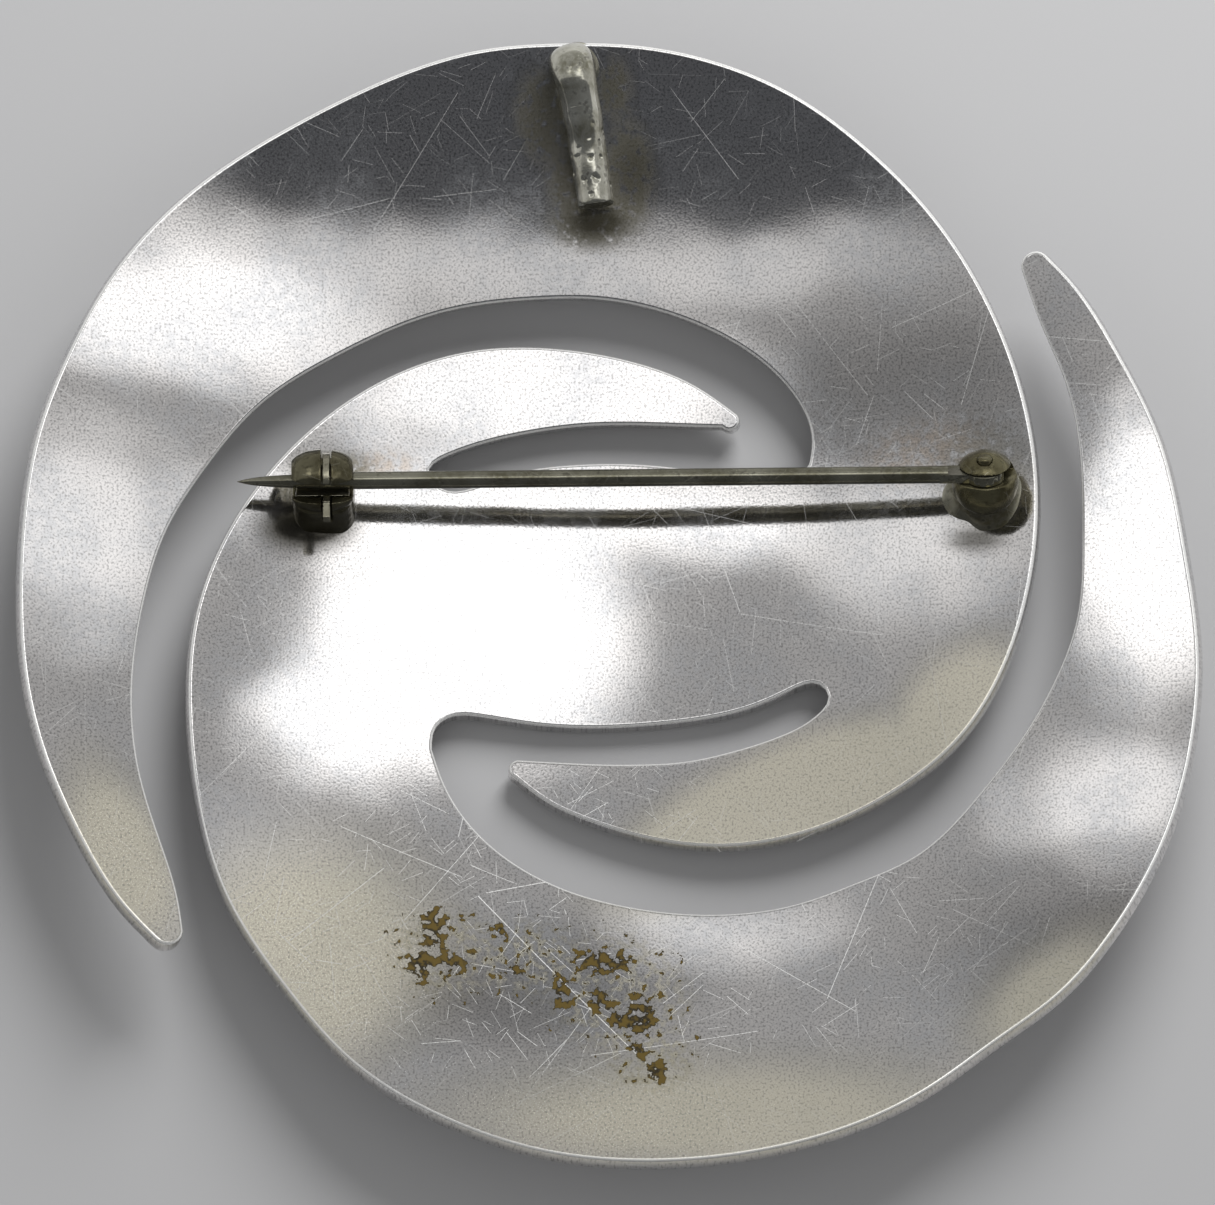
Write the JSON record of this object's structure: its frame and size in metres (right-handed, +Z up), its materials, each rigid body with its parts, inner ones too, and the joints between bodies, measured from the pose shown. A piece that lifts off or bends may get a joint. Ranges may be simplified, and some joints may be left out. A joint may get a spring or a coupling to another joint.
{
  "type": "silver brooch pendant",
  "caption": "Domed silver swirl brooch seen from its back, with a ball-hinged pin, a turning safety catch and a soldered pendant hook.",
  "frame": {"origin": "under the middle of the plate, on the surface that the dome rests on, with the hollow back up", "axes": "+X along the longest way of the plate, from the catch to the hinge, +Y towards the edge with the pendant hook, +Z up, away from the domed front"},
  "size_m": [0.063, 0.0626, 0.0081],
  "materials": {
    "silver_sheet": "worn sterling silver, finely scratched, with pale yellow tarnish and brown glue stains",
    "pin_wire": "drawn nickel silver wire, dulled and darkened",
    "fittings": "tarnished nickel silver, olive grey in the hollows"
  },
  "bodies": {
    "brooch": {"swirl_plate": "silver_sheet", "hinge_rivet": "fittings"},
    "pin": {"pin_stem": "pin_wire"},
    "catch_sleeve": {"catch_rotor": "fittings"}
  },
  "joints": [
    {"name": "pin_swing", "type": "hinge", "parent": "brooch", "child": "pin", "pos_m": [0.01994, 0.00678, 0.00613], "axis": [-0.0189, 0.707, 0.7069], "range_deg": [0, 80]},
    {"name": "catch_turn", "type": "hinge", "parent": "brooch", "child": "catch_sleeve", "pos_m": [-0.01496, 0.00666, 0.00533], "axis": [-0.9997, -0.0036, -0.0232], "range_deg": [0, 110]}
  ]
}
